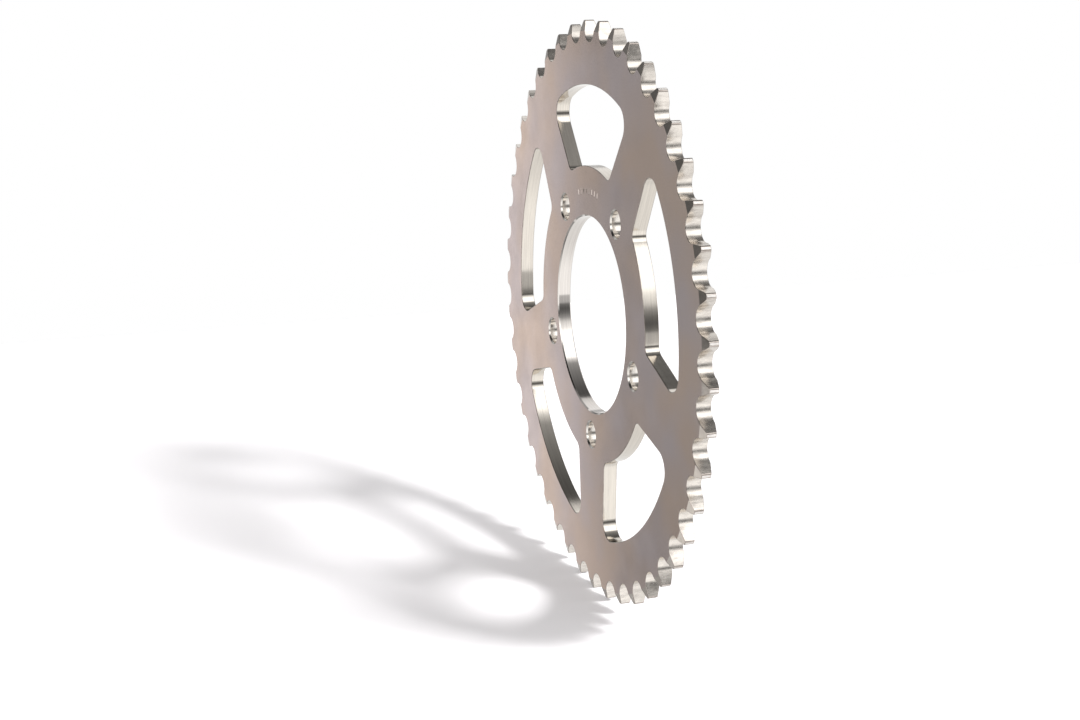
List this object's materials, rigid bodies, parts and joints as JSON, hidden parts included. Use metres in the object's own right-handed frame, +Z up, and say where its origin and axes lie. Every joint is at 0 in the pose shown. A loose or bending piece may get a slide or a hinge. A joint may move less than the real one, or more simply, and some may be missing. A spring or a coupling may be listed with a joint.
{
  "type": "rear sprocket",
  "caption": "Flat steel chain wheel for a motorcycle's rear hub: a ring of teeth, a central bore, bolt holes and lightening windows between ribs.",
  "frame": {"origin": "centre of the bore, half way through the plate", "axes": "+Y along the wheel axis towards the hub, -Y towards the outer face, +Z up as the sprocket stands on its teeth"},
  "size_m": [0.2338, 0.0058, 0.2339],
  "materials": {
    "steel": "satin, barrel-finished, with bright machined edges"
  },
  "bodies": {
    "root": {"sprocket_plate": "steel"}
  },
  "joints": []
}
